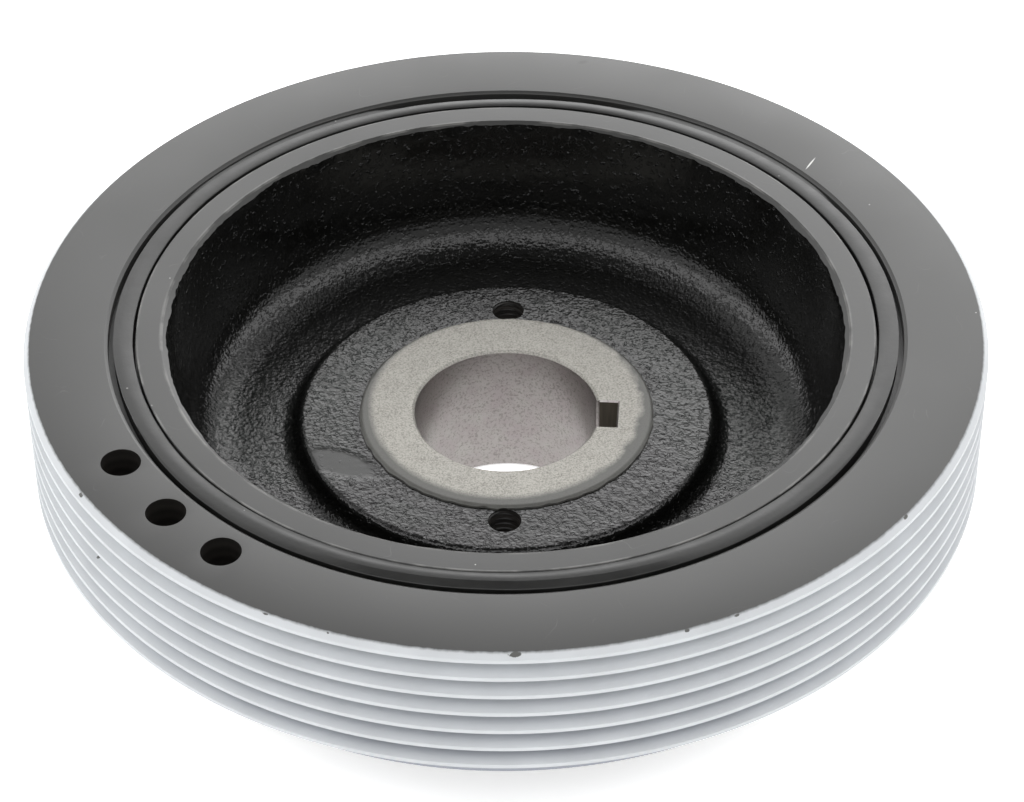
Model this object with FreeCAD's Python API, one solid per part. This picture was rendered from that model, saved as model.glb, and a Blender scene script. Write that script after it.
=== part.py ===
import FreeCAD, Part

import math
import os

from FreeCAD import Vector

# A crankshaft harmonic balancer: an iron hub, a rubber damping ring and an
# inertia ring whose rim is the belt pulley.
# The bore axis is Z. Z = 0 is the end of the snout, and +Z leaves the front
# face. Lengths are in millimetres and angles in degrees. Depths are measured
# down from the front face.

# Belt track on the inertia ring
track_r = 76.9            # over the tips of the ribs
groove_count = 6
groove_pitch = 3.56
groove_angle = 40.0       # between the two flanks of one groove
groove_depth = 3.1
rib_tip = 0.7             # flat on top of each rib
rim_chamfer = 0.93        # on both ends of the track

# Inertia ring behind and inside the track
ring_wall = 13.4          # rib tips to the ring's bore
rear_step_drop = 6.9      # rib tips to the plain collar behind the track
rear_step_length = 7.08
rear_step_fillet = 1.5
ring_edge = 0.3           # small chamfer on the other edges

# Balance drillings in the ring's front face, as (angle, distance from the
# wall of the ring's bore to the hole's centre)
balance_holes = [(-149.2, 4.5), (-137.6, 5.0), (-127.2, 5.4)]
balance_hole_r = 3.1
balance_hole_depth = 12.0
drill_point_angle = 118.0

# Rubber ring
rubber_wall = 4.45        # from the hub's rim to the ring's bore
crown_width = 3.0         # raised middle of the rubber's front edge
crown_offset = 0.85       # from the hub's rim to the crown
crown_depth = 0.35
crown_shoulder = 0.75     # how far the crown's sides lie below its top
crevice_depth = 2.2
rubber_rear_inset = 2.4   # from the ring's rear face

# Hub: rim and bowl
hub_rim_wall = 4.25
hub_rim_rear_inset = 0.8  # from the ring's rear face
bowl_depth = 22.7
bowl_draft = 10.0
bowl_edge = 0.5
bowl_fillet = 8.0
web_thickness = 6.8
rear_rim_wall = 9.0       # the hub's rim seen from behind
rear_fillet = 1.5

# Hub: bore, keyway and snout
bore_r = 15.0
bore_length = 25.4
bore_front_chamfer = 0.4
bore_rear_chamfer = 0.8
keyway_width = 6.3
keyway_depth = 3.1        # beyond the wall of the bore
keyway_angle = -3.5
snout_wall = 7.0
snout_lead = 1.2
snout_fillet = 2.0

# Hub: boss and machined land in the middle of the bowl
land_wall = 9.05          # bore to the land's edge
land_depth = 18.5
land_edge = 0.25
boss_wall = 9.65          # land to the boss's edge
boss_drop = 0.8           # land down to the boss's face
boss_draft = 15.0
boss_edge_fillet = 1.2
boss_foot_fillet = 2.0

# Threaded holes for a puller, drilled to the thread's inner size
puller_hole_r = 2.5
puller_land_gap = 0.05    # from the land's edge to the hole
puller_hole_angles = [90.0, -90.0]

# Sizes worked out from those above
ring_bore_r = track_r - ring_wall
rear_step_r = track_r - rear_step_drop
hub_rim_r = ring_bore_r - rubber_wall
bowl_r = hub_rim_r - hub_rim_wall
snout_r = bore_r + snout_wall
land_r = bore_r + land_wall
boss_r = land_r + boss_wall
boss_depth = land_depth + boss_drop
puller_circle_r = land_r + puller_land_gap + puller_hole_r
front_z = land_depth + bore_length
track_length = 2 * rim_chamfer + rib_tip + groove_count * groove_pitch
ring_rear_z = front_z - track_length - rear_step_length


def corner_arc(before, corner, after, radius):
    """Start, middle and end of the arc that rounds a corner, or None."""
    to_before = (before - corner).normalize()
    to_after = (after - corner).normalize()
    half = to_before.getAngle(to_after) / 2
    legs = min(before.distanceToPoint(corner), after.distanceToPoint(corner))
    setback = min(radius / math.tan(half), 0.45 * legs)
    if setback <= 0:
        return None
    fitted = setback * math.tan(half)
    inward = (to_before + to_after).normalize()
    middle = corner + inward * (fitted / math.sin(half) - fitted)
    return corner + to_before * setback, middle, corner + to_after * setback


def turned(section):
    """Solid of revolution about Z from a closed section of (r, z, fillet)."""
    corners = [Vector(r, 0, z) for r, z, fillet in section]
    edges = []
    ends = []
    for i, (r, z, fillet) in enumerate(section):
        before = corners[i - 1]
        after = corners[(i + 1) % len(corners)]
        arc = corner_arc(before, corners[i], after, fillet) if fillet else None
        if arc:
            edges.append(Part.Arc(*arc).toShape())
            ends.append((arc[0], arc[2]))
        else:
            ends.append((corners[i], corners[i]))
    for i, (start, end) in enumerate(ends):
        edges.append(Part.makeLine(end, ends[(i + 1) % len(ends)][0]))
    wire = Part.Wire(Part.__sortEdges__(edges))
    face = Part.Face(wire)
    return face.revolve(Vector(0, 0, 0), Vector(0, 0, 1), 360)


def groove_section():
    """Corners of the track from its front end to its rear end."""
    half_angle = math.radians(groove_angle / 2)
    half_mouth = (groove_pitch - rib_tip) / 2
    sharp_depth = half_mouth / math.tan(half_angle)
    depth = min(groove_depth, 0.95 * sharp_depth)
    root_half = half_mouth - depth * math.tan(half_angle)
    root_fillet = 0.8 * root_half
    first_tip_z = front_z - rim_chamfer
    section = [(track_r - rim_chamfer, front_z, 0), (track_r, first_tip_z, 0)]
    for k in range(groove_count):
        middle_z = first_tip_z - rib_tip / 2 - groove_pitch * (k + 0.5)
        section += [
            (track_r, middle_z + half_mouth, 0),
            (track_r - depth, middle_z + root_half, root_fillet),
            (track_r - depth, middle_z - root_half, root_fillet),
            (track_r, middle_z - half_mouth, 0),
        ]
    track_rear_z = front_z - track_length
    section += [
        (track_r, track_rear_z + rim_chamfer, 0),
        (track_r - rim_chamfer, track_rear_z, 0),
    ]
    return section


def balance_drilling(angle, inset):
    """One blind drilling with a drill point, opening in the front face."""
    point = balance_hole_r / math.tan(math.radians(drill_point_angle / 2))
    floor_z = front_z - balance_hole_depth
    radius = ring_bore_r + inset
    x = radius * math.cos(math.radians(angle))
    y = radius * math.sin(math.radians(angle))
    up = Vector(0, 0, 1)
    length = balance_hole_depth + ring_edge
    barrel = Part.makeCylinder(balance_hole_r, length, Vector(x, y, floor_z), up)
    tip = Part.makeCone(0, balance_hole_r, point, Vector(x, y, floor_z - point), up)
    return barrel.fuse(tip)


def make_pulley_ring():
    """Iron ring with the ribbed belt track, a rear collar and drillings."""
    section = groove_section()
    section += [
        (rear_step_r, front_z - track_length, rear_step_fillet),
        (rear_step_r, ring_rear_z + ring_edge, 0),
        (rear_step_r - ring_edge, ring_rear_z, 0),
        (ring_bore_r + ring_edge, ring_rear_z, 0),
        (ring_bore_r, ring_rear_z + ring_edge, 0),
        (ring_bore_r, front_z - ring_edge, 0),
        (ring_bore_r + ring_edge, front_z, 0),
    ]
    ring = turned(section)
    for angle, inset in balance_holes:
        ring = ring.cut(balance_drilling(angle, inset))
    return ring


def make_rubber_ring():
    """Rubber pressed between hub and ring, its front edge swollen to a crown."""
    crown_r = hub_rim_r + crown_offset
    crown_z = front_z - crown_depth
    shoulder_z = crown_z - crown_shoulder
    crevice_z = front_z - crevice_depth
    rear_z = ring_rear_z + rubber_rear_inset
    round_in = 0.35 * crown_shoulder
    return turned([
        (hub_rim_r, rear_z, 0),
        (ring_bore_r, rear_z, 0),
        (ring_bore_r, crevice_z, 0),
        (crown_r + crown_width, crevice_z, 0),
        (crown_r + crown_width, shoulder_z, round_in),
        (crown_r + 0.6 * crown_width, crown_z, round_in),
        (crown_r + 0.15 * crown_width, crown_z, round_in),
        (crown_r, crown_z - 0.3 * crown_shoulder, round_in),
        (crown_r, crevice_z, 0),
        (hub_rim_r, crevice_z, 0),
    ])


def hub_body():
    """Everything on the hub that is round about the bore."""
    floor_z = front_z - bowl_depth
    boss_z = front_z - boss_depth
    land_z = front_z - land_depth
    web_rear_z = floor_z - web_thickness
    rim_rear_z = ring_rear_z + hub_rim_rear_inset
    wall_run = (bowl_depth - bowl_edge) * math.tan(math.radians(bowl_draft))
    boss_run = (bowl_depth - boss_depth) * math.tan(math.radians(boss_draft))
    return turned([
        (hub_rim_r, rim_rear_z, 0),
        (hub_rim_r, front_z - ring_edge, 0),
        (hub_rim_r - ring_edge, front_z, 0),
        (bowl_r + bowl_edge, front_z, 0),
        (bowl_r, front_z - bowl_edge, 0),
        (bowl_r - wall_run, floor_z, bowl_fillet),
        (boss_r + boss_run, floor_z, boss_foot_fillet),
        (boss_r, boss_z, boss_edge_fillet),
        (land_r, boss_z, 0),
        (land_r, land_z - land_edge, 0),
        (land_r - land_edge, land_z, 0),
        (bore_r + bore_front_chamfer, land_z, 0),
        (bore_r, land_z - bore_front_chamfer, 0),
        (bore_r, bore_rear_chamfer, 0),
        (bore_r + bore_rear_chamfer, 0, 0),
        (snout_r - snout_lead, 0, 0),
        (snout_r, snout_lead, 0),
        (snout_r, web_rear_z, snout_fillet),
        (hub_rim_r - rear_rim_wall, web_rear_z, rear_fillet),
        (hub_rim_r - rear_rim_wall, rim_rear_z, 0),
    ])


def keyway_cut():
    """Slot broached through the whole length of the bore."""
    slot = Part.makeBox(
        bore_r + keyway_depth, keyway_width, front_z,
        Vector(0, -keyway_width / 2, 0))
    slot.rotate(Vector(0, 0, 0), Vector(0, 0, 1), keyway_angle)
    return slot


def puller_hole(angle):
    """Through hole beside the land, at the thread's inner size."""
    x = puller_circle_r * math.cos(math.radians(angle))
    y = puller_circle_r * math.sin(math.radians(angle))
    return Part.makeCylinder(puller_hole_r, front_z, Vector(x, y, 0))


def make_hub():
    """Cast iron hub with its bowl, boss, land, bore, keyway and snout."""
    hub = hub_body().cut(keyway_cut())
    for angle in puller_hole_angles:
        hub = hub.cut(puller_hole(angle))
    return hub


def main():
    os.makedirs("parts", exist_ok=True)
    nodes = {
        "hub": make_hub(),
        "rubber_ring": make_rubber_ring(),
        "pulley_ring": make_pulley_ring(),
    }
    for name, shape in nodes.items():
        shape.exportStep("parts/" + name + ".step")
        box = shape.BoundBox
        print(name, "valid", shape.isValid(), "solids", len(shape.Solids),
              "volume %.0f" % shape.Volume,
              "z %.2f to %.2f" % (box.ZMin, box.ZMax),
              "x %.2f to %.2f" % (box.XMin, box.XMax))


main()
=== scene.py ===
"""A crankshaft harmonic balancer: cast hub, rubber damping ring and ribbed belt pulley ring."""
import math

import bmesh
import bpy
import numpy as np
from bpy.props import FloatProperty, IntProperty, PointerProperty, StringProperty
from mathutils import Matrix, Vector, noise


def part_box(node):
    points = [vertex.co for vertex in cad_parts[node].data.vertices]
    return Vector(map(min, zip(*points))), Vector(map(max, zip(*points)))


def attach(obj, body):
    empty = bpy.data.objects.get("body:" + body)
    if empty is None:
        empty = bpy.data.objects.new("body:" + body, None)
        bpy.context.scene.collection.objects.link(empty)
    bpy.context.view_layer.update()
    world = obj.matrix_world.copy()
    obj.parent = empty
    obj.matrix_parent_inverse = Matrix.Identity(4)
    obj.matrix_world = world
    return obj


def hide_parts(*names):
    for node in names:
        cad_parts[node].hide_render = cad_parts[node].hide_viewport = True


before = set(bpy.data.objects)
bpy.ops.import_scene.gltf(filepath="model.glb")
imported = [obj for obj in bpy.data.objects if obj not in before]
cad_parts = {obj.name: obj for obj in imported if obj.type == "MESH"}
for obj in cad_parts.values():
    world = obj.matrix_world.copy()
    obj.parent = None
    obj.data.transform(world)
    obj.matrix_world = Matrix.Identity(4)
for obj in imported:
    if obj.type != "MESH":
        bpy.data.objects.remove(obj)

bl_info = {
    "name": "Harmonic balancer",
    "version": (1, 0, 0),
    "blender": (4, 5, 0),
    "location": "3D View > Sidebar > Balancer",
    "description": "Builds a crankshaft harmonic balancer round its construction model",
    "category": "Object",
}

MM = 0.001
FULL_TURN = 2 * math.pi
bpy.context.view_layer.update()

HUB_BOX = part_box("hub")
RING_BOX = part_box("pulley_ring")
RUBBER_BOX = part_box("rubber_ring")
FRONT_Z = HUB_BOX[1].z
TRACK_R = RING_BOX[1].x
RING_BORE_R = RUBBER_BOX[1].x
HUB_RIM_R = HUB_BOX[1].x
HUB_REAR_RIM_Z = RING_BOX[0].z + 0.8 * MM

# Black chips in the grey primer: angle in degrees, then in millimetres the distance from the axis,
# the depth below the front face, the half length and the half height
CHIPS = [
    (-88.3, 76.3, 0.3, 0.95, 0.4), (-146.6, 76.4, 0.4, 0.5, 0.35), (-116.8, 76.2, 0.2, 0.6, 0.2),
    (-109.1, 76.2, 0.2, 0.3, 0.2), (-63.3, 76.2, 0.2, 0.5, 0.25), (-69.3, 76.2, 0.2, 0.4, 0.25),
    (-37.6, 76.2, 0.2, 0.5, 0.3), (-144.6, 75.85, 11.2, 0.4, 0.4), (-107.4, 76.2, 16.5, 0.4, 0.3)]

# Balance drillings: angle in degrees and millimetres from the wall of the ring's bore
DRILLINGS = [(-149.2, 4.5), (-137.6, 5.0), (-127.2, 5.4)]
DRILL_FACETS = 72
DRILL_ABOVE = 1 * MM

# Ellipses on the surface: centre, half sizes and, where one has it, the turn about the axis
MASKING_CAP = {"centre": (-0.15 * MM, 1.35 * MM, 0), "half_sizes": (21.9 * MM, 22.85 * MM, 1.0)}
SCRATCH = {
    "centre": (51.05 * MM, 42.78 * MM, FRONT_Z), "half_sizes": (1.75 * MM, 0.14 * MM, 1.0),
    "turn": math.radians(61.6)}
SMEAR = {
    "centre": (12.78 * MM, 72.79 * MM, FRONT_Z), "half_sizes": (0.9 * MM, 0.5 * MM, 1.0),
    "turn": math.radians(20)}
SMOOTH_PATCH = {
    "centre": (-26.6 * MM, -12.9 * MM, 0), "half_sizes": (6.6 * MM, 3.1 * MM, 1.0),
    "turn": math.radians(-25)}


# Properties that a user may change

def length(name, millimetres, description):
    """A length property whose default is given in millimetres."""
    return FloatProperty(
        name=name, description=description, default=millimetres * MM, unit="LENGTH", precision=5)


def angle(name, degrees, description):
    """An angle property whose default is given in degrees."""
    return FloatProperty(
        name=name, description=description, default=math.radians(degrees), subtype="ANGLE")


def brightness(name, value, description):
    """A light's brightness, where 1 is a white surface."""
    return FloatProperty(
        name=name, description=description, default=value, min=0, subtype="UNSIGNED")


def paint(name, code, description):
    """A colour property whose default is an sRGB hex code."""
    return StringProperty(name=name, description=description, default=code)


class BalancerRing(bpy.types.PropertyGroup):
    """Sizes of the pulley ring."""
    groove_count: IntProperty(
        name="Grooves", description="Grooves for the ribbed belt", default=6, min=1)
    groove_pitch: length("Groove pitch", 3.56, "Distance from one rib to the next")
    groove_angle: angle("Groove angle", 40, "Angle between the flanks of a groove")
    groove_depth: length("Groove depth", 3.1, "Rib tip to groove root")
    rib_tip: length("Rib tip", 0.7, "Flat width on top of a rib")
    tip_round: length("Tip rounding", 0.12, "Radius that the paint leaves on a rib's edges")
    root_round: length("Root rounding", 0.22, "Radius in a groove's root")
    rim_chamfer: length("Rim chamfer", 0.93, "Chamfer at both ends of the belt track")
    edge: length("Edge", 0.3, "Small chamfer on the ring's other edges")
    bevel_width: length("Bore bevel", 0.55, "Width of the turned bevel at the bore's front")
    bevel_depth: length("Bore bevel depth", 0.34, "Depth of that bevel")
    collar_drop: length("Collar drop", 6.9, "Rib tips down to the collar behind the track")
    collar_fillet: length("Collar fillet", 1.5, "Radius between track and collar")
    drill_r: length("Drilling radius", 3.1, "Radius of a balance drilling")
    drill_depth: length("Drilling depth", 12, "Depth of a balance drilling")
    drill_point: angle("Drill point", 118, "Angle of the drill's point")
    segments: IntProperty(
        name="Segments", description="Facets round the ring", default=512, min=32)


class BalancerRubber(bpy.types.PropertyGroup):
    """Sizes of the rubber ring."""
    crown_width: length("Crown width", 2.55, "Mean width of the swollen front edge")
    crown_swell: length("Crown swell", 0.65, "Extra width left and right, taken away near and far")
    crown_tilt: length("Crown tilt", 0.06, "How far the crown leans towards the hub on the near side")
    crown_offset: length("Crown offset", 0.45, "Mean gap between the hub and the crown")
    crown_shift: length("Crown shift", 0.5, "How far the crown sits off centre, away from the near side")
    crown_depth: length("Crown depth", 0.15, "Front face down to the crown's top")
    crown_dome: length("Crown dome", 0.16, "Crown's top down to its edges")
    shoulder_width: length("Shoulder width", 1.4, "Width of the shoulder outside the crown, near side only")
    shoulder_drop: length("Shoulder drop", 0.5, "Fall of that shoulder")
    shoulder_ease: FloatProperty(
        name="Shoulder ease", description="Share of the shoulder's fall left beside the nearest point",
        default=0.35, min=0, max=1, subtype="FACTOR")
    crevice_depth: length("Crevice depth", 2.2, "Front face down to the crevices' floor")
    bridge_depth: length("Bridge depth", 0.16, "Front face down to the closed inner crevice, near side")
    bridge_lift: length("Bridge lift", 0.1, "How much higher the crown stands where that crevice is closed")
    filled_depth: length("Filled depth", 0.55, "Front face down to the filled outer crevice, far side")
    wander: length("Wander", 0.12, "How far the moulded edge wanders sideways")


class BalancerHub(bpy.types.PropertyGroup):
    """Sizes of the hub."""
    rim_edge: length("Rim edge", 0.1, "Chamfer on the rim's outer edge")
    mouth_r: length("Bowl mouth radius", 55.1, "Inner edge of the machined rim")
    bevel_width: length("Mouth bevel", 0.75, "Width of the turned bevel at the bowl's mouth")
    bevel_slope: angle("Mouth bevel slope", 32, "The bevel's slope below the front face")
    bowl_depth: length("Bowl depth", 22.7, "Front face down to the bowl's floor")
    bowl_draft: angle("Bowl draft", 10, "Slope of the cast wall")
    bowl_fillet: length("Bowl fillet", 8, "Radius between wall and floor")
    boss_r: length("Boss radius", 33.7, "Edge of the raised boss")
    boss_depth: length("Boss depth", 19.05, "Front face down to the boss")
    boss_draft: angle("Boss draft", 20, "Slope of the boss's side")
    boss_edge: length("Boss edge", 1.2, "Radius on the boss's edge")
    boss_foot: length("Boss foot", 3, "Radius at the boss's foot")
    land_r: length("Land radius", 24.05, "Edge of the machined land")
    land_depth: length("Land depth", 18.5, "Front face down to the land")
    land_edge: length("Land edge", 0.5, "Width of the rounded edge of the land")
    bore_r: length("Bore radius", 15, "Bore for the crankshaft")
    bore_chamfer: length("Bore chamfer", 0.4, "Chamfer at the bore's front")
    bore_rear_chamfer: length("Bore rear chamfer", 0.8, "Chamfer at the bore's rear")
    keyway_width: length("Keyway width", 6.3, "Width of the keyway")
    keyway_depth: length("Keyway depth", 3.1, "Keyway beyond the bore's wall")
    keyway_angle: angle("Keyway angle", -3.5, "Where the keyway lies about the bore")
    snout_r: length("Snout radius", 22, "Ground snout behind the web")
    snout_lead: length("Snout lead", 1.2, "Chamfer at the snout's end")
    web_thickness: length("Web thickness", 6.8, "Bowl floor to the web's back")
    rear_rim_wall: length("Rear rim wall", 9, "Hub rim seen from behind")
    thread_circle_r: length("Puller circle", 26.6, "Distance of the puller holes from the axis")
    thread_minor_r: length("Thread inner radius", 2.5, "Inner radius of the puller threads")
    thread_major_r: length("Thread outer radius", 2.65, "Outer radius of the puller threads")
    thread_pitch: length("Thread pitch", 1, "Pitch of the puller threads")
    relief: length("Casting relief", 0.07, "Height of the sand casting's grain")
    grain: length("Casting grain", 0.95, "Size of the sand casting's grain")
    sectors: IntProperty(
        name="Sectors", description="Facets round the hub", default=520, min=32)
    row_step: length("Row step", 0.6, "Distance between rings of the cast surface")


class BalancerColours(bpy.types.PropertyGroup):
    """Colours of the finishes, as sRGB hex codes."""
    satin_black: paint("Satin black", "#2d2d2c", "Paint on the machined front faces")
    pale_scuff: paint("Pale scuff", "#c9c8c4", "Dust and rubbed paint")
    scratch: paint("Scratch", "#dcdcd8", "Deep scratch on the ring's face")
    chip: paint("Chip", "#4c4c4a", "Chipped spots in the grey primer")
    gloss_black: paint("Gloss black", "#090908", "Paint on the cast surfaces")
    track_grey: paint("Track grey", "#bdc0c3", "Primer on the belt track")
    # Painted shade: a blue grey that darkens the primer in the groove roots
    groove_shade: paint("Groove shade", "#858993", "Painted shade in the roots of the grooves")
    bare_iron: paint("Bare iron", "#aaa8a2", "Blasted land round the bore")
    iron_dark: paint("Dark iron", "#6d6b66", "Pits and shadows in bare iron")
    bore_grey: paint("Bore", "#979491", "Honed wall of the bore")
    bore_pink: paint("Bore tint", "#918a8a", "Warm tint in patches of that wall")
    ground_steel: paint("Ground steel", "#a9a6a2", "Snout behind the web")
    overspray: paint("Overspray", "#41413e", "Paint that crept under the masking cap")
    keyway_dark: paint("Keyway", "#5e584e", "Oily iron in the keyway")
    drilling: paint("Drilling", "#211f1d", "Painted wall of a balance drilling")
    rubber: paint("Rubber", "#161615", "Painted front edge of the rubber")
    floor: paint("Floor", "#f9f9f8", "Studio floor")


class BalancerStage(bpy.types.PropertyGroup):
    """Camera, light and floor."""
    distance: length("Camera distance", 568, "Camera to the middle of the front face")
    elevation: angle("Camera elevation", 38.67, "Camera above the front face")
    azimuth: angle("Camera azimuth", 0.85, "Camera to the right of the near side")
    roll: angle("Camera roll", -0.31, "Camera turned about its view")
    aim_side: length("Aim to the side", 0.87, "Aim point right of the axis")
    aim_near: length("Aim towards the camera", 19.97, "Aim point on the near side of the axis")
    focal_pixels: FloatProperty(
        name="Focal length", description="Focal length in pixels of the picture", default=3550,
        min=1, subtype="PIXEL")
    picture_width: IntProperty(
        name="Picture width", description="Width of the picture", default=1024, min=1, subtype="PIXEL")
    walls: brightness("Walls", 1.1, "Brightness of the white tent's walls")
    opening: brightness("Opening", 0.15, "Brightness of the tent's opening overhead")
    back_glow: brightness("Back light", 3.4, "Extra brightness of the panel behind the part")
    front_lamp: brightness("Front lamp", 1.9, "Extra brightness of the curved lamp round the camera")
    floor_glow: brightness("Floor light", 0.55, "Light that the pale floor gives off")


# Small tools

def linear(code):
    """An sRGB hex code as a linear colour with alpha."""
    channels = [int(code[i:i + 2], 16) / 255 for i in (1, 3, 5)]
    return tuple(
        c / 12.92 if c <= 0.04045 else ((c + 0.055) / 1.055) ** 2.4 for c in channels) + (1.0,)


def per(millimetres):
    """Texture scale for a pattern whose features have this size."""
    return 1 / (millimetres * MM)


def feed(tree, node, inputs):
    """Set or link a node's inputs, given by name or number, or as a list in their order.

    A node that is linked gives its first output in use.
    """
    pairs = enumerate(inputs) if isinstance(inputs, list) else dict(inputs).items()
    for key, value in pairs:
        if isinstance(value, bpy.types.Node):
            value = next(output for output in value.outputs if output.enabled)
        if isinstance(value, bpy.types.NodeSocket):
            tree.links.new(value, node.inputs[key])
        else:
            node.inputs[key].default_value = value


def add(tree, kind, settings=(), inputs=()):
    """Add a node with its settings and inputs."""
    node = tree.nodes.new(kind)
    for key, value in dict(settings).items():
        setattr(node, key, value)
    feed(tree, node, inputs)
    return node


def new_material(name):
    """An empty material with its surface shader and the object's coordinates."""
    material = bpy.data.materials.new(name)
    material.use_nodes = True
    tree = material.node_tree
    tree.nodes.clear()
    shader = add(tree, "ShaderNodeBsdfPrincipled")
    add(tree, "ShaderNodeOutputMaterial", (), {"Surface": shader})
    place = add(tree, "ShaderNodeTexCoord").outputs["Object"]
    return material, tree, shader, place


def finish_piece(obj, node):
    """Let the piece stand for its construction node and ride with the part."""
    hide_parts(node)
    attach(obj, "root")


def link_object(name, mesh, materials):
    """Put a mesh in the scene as a piece."""
    obj = bpy.data.objects.new(name, mesh)
    bpy.context.scene.collection.objects.link(obj)
    for material in materials:
        mesh.materials.append(material)
    return obj


def rounded(section, steps=6):
    """Points of a section of (r, z, fillet, band), its fillets as arcs. Each point keeps its band."""
    points = []
    count = len(section)
    for i, (r, z, fillet, band) in enumerate(section):
        corner = Vector((r, z))
        if not fillet:
            points.append((r, z, band))
            continue
        before = Vector(section[i - 1][:2]) - corner
        after = Vector(section[(i + 1) % count][:2]) - corner
        half = before.angle(after) / 2
        setback = min(fillet / math.tan(half), 0.48 * min(before.length, after.length))
        radius = setback * math.tan(half)
        middle = (before.normalized() + after.normalized()).normalized()
        centre = corner + middle * (radius / math.sin(half))
        start = corner + before.normalized() * setback - centre
        end = corner + after.normalized() * setback - centre
        sweep = start.angle_signed(end)
        for k in range(steps + 1):
            spoke = start.copy()
            spoke.rotate(Matrix.Rotation(-sweep * k / steps, 2))
            points.append((centre.x + spoke.x, centre.y + spoke.y, band))
    return points


# Finishes

def spot_distance(tree, place, centre, half_sizes, turn=0.0):
    """How far a place lies from a spot's centre, where 1 is the rim of an ellipse of these half sizes."""
    local = add(tree, "ShaderNodeMapping", {"vector_type": "TEXTURE"}, {
        "Vector": place, "Location": centre, "Rotation": (0, 0, turn), "Scale": half_sizes})
    return add(tree, "ShaderNodeVectorMath", {"operation": "LENGTH"}, [local])


def specks(tree, place, spacing, radius, share):
    """Small round spots, 1 inside and 0 elsewhere: a share of the cells of this spacing hold one each."""
    cells = add(tree, "ShaderNodeTexVoronoi", (), {"Vector": place, "Scale": per(spacing)})
    spot = add(tree, "ShaderNodeMapRange", (), {
        "Value": cells.outputs["Distance"], "From Min": radius / spacing, "From Max": 0.5 * radius / spacing})
    chance = add(tree, "ShaderNodeSeparateColor", (), {"Color": cells.outputs["Color"]})
    chosen = add(tree, "ShaderNodeMath", {"operation": "LESS_THAN"}, [chance, share])
    return add(tree, "ShaderNodeMath", {"operation": "MULTIPLY"}, [spot, chosen])


def mottled(tree, code, pattern, values, tones):
    """A colour made darker and lighter by a pattern, whose values between two limits give two tones."""
    tone = add(tree, "ShaderNodeMapRange", (), [pattern, *values, *tones])
    return add(tree, "ShaderNodeMix", {"data_type": "RGBA", "blend_type": "MULTIPLY"}, {
        "Factor": 1.0, 6: linear(code), 7: tone})


def satin_coat(tree, place, colours):
    """Colour and roughness of satin black paint brushed over a turned iron face.

    It reads mid grey because it mirrors the white surround: faint blotches, dust and rubbed marks.
    """
    blotch = add(tree, "ShaderNodeTexNoise", (), {"Vector": place, "Scale": per(22), "Detail": 3.0})
    tone = mottled(tree, colours.satin_black, blotch, (0.3, 0.7), (0.88, 1.12))
    rub = add(tree, "ShaderNodeTexNoise", (), {"Vector": place, "Scale": per(9), "Detail": 1.0})
    line = add(tree, "ShaderNodeMath", {"operation": "COMPARE"}, [rub, 0.5, 0.0022])
    where = add(tree, "ShaderNodeTexNoise", (), {"Vector": place, "Scale": per(5), "Detail": 2.0})
    sparse = add(tree, "ShaderNodeMapRange", (), {
        "Value": where, "From Min": 0.56, "From Max": 0.68, "To Min": 0.0, "To Max": 0.06})
    marks = add(tree, "ShaderNodeMath", {"operation": "MULTIPLY"}, [line, sparse])
    dust = specks(tree, place, 5, 0.16, 0.28)
    pale = add(tree, "ShaderNodeMath", {"operation": "MAXIMUM"}, [marks, dust])
    dull = add(tree, "ShaderNodeMath", {"operation": "MULTIPLY"}, [pale, 0.6])
    colour = add(tree, "ShaderNodeMix", {"data_type": "RGBA"}, {
        "Factor": dull, 6: tone, 7: linear(colours.pale_scuff)})
    rough = add(tree, "ShaderNodeMapRange", (), {
        "Value": blotch, "From Min": 0.3, "From Max": 0.7, "To Min": 0.3, "To Max": 0.4})
    return colour, rough


def satin_black(colours):
    """Satin black enamel on turned iron: mid grey by reflection, with dust and pale worn edges."""
    mouth_edge, worn_width = 55.15 * MM, 0.3 * MM
    material, tree, shader, place = new_material("satin_black_enamel")
    colour, rough = satin_coat(tree, place, colours)
    flat = add(tree, "ShaderNodeVectorMath", {"operation": "MULTIPLY"}, [place, (1, 1, 0)])
    radius = add(tree, "ShaderNodeVectorMath", {"operation": "LENGTH"}, [flat])
    inner = add(tree, "ShaderNodeMapRange", (), {
        "Value": radius, "From Min": mouth_edge + worn_width, "From Max": mouth_edge})
    outer = add(tree, "ShaderNodeMapRange", (), {
        "Value": radius, "From Min": HUB_RIM_R - 0.4 * MM, "From Max": HUB_RIM_R - 0.2 * MM})
    rims = add(tree, "ShaderNodeMath", {"operation": "MAXIMUM"}, [inner, outer])
    level = add(tree, "ShaderNodeSeparateXYZ", (), [place]).outputs["Z"]
    on_top = add(tree, "ShaderNodeMath", {"operation": "GREATER_THAN"}, [level, FRONT_Z - 0.2 * MM])
    edges = add(tree, "ShaderNodeMath", {"operation": "MULTIPLY"}, [rims, on_top])
    rubbed = add(tree, "ShaderNodeTexNoise", (), {"Vector": place, "Scale": per(6), "Detail": 4.0})
    patchy = add(tree, "ShaderNodeMapRange", (), {
        "Value": rubbed, "From Min": 0.45, "From Max": 0.6, "To Min": 0.0, "To Max": 0.14})
    worn = add(tree, "ShaderNodeMath", {"operation": "MULTIPLY"}, [edges, patchy])
    finish = add(tree, "ShaderNodeMix", {"data_type": "RGBA"}, {
        "Factor": worn, 6: colour, 7: linear(colours.pale_scuff)})
    peel = add(tree, "ShaderNodeTexNoise", (), {"Vector": place, "Scale": per(0.9), "Detail": 1.0})
    bump = add(tree, "ShaderNodeBump", (), {"Height": peel, "Distance": 0.01 * MM, "Strength": 0.35})
    feed(tree, shader, {"Base Color": finish, "Roughness": rough, "Normal": bump})
    return material


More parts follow.
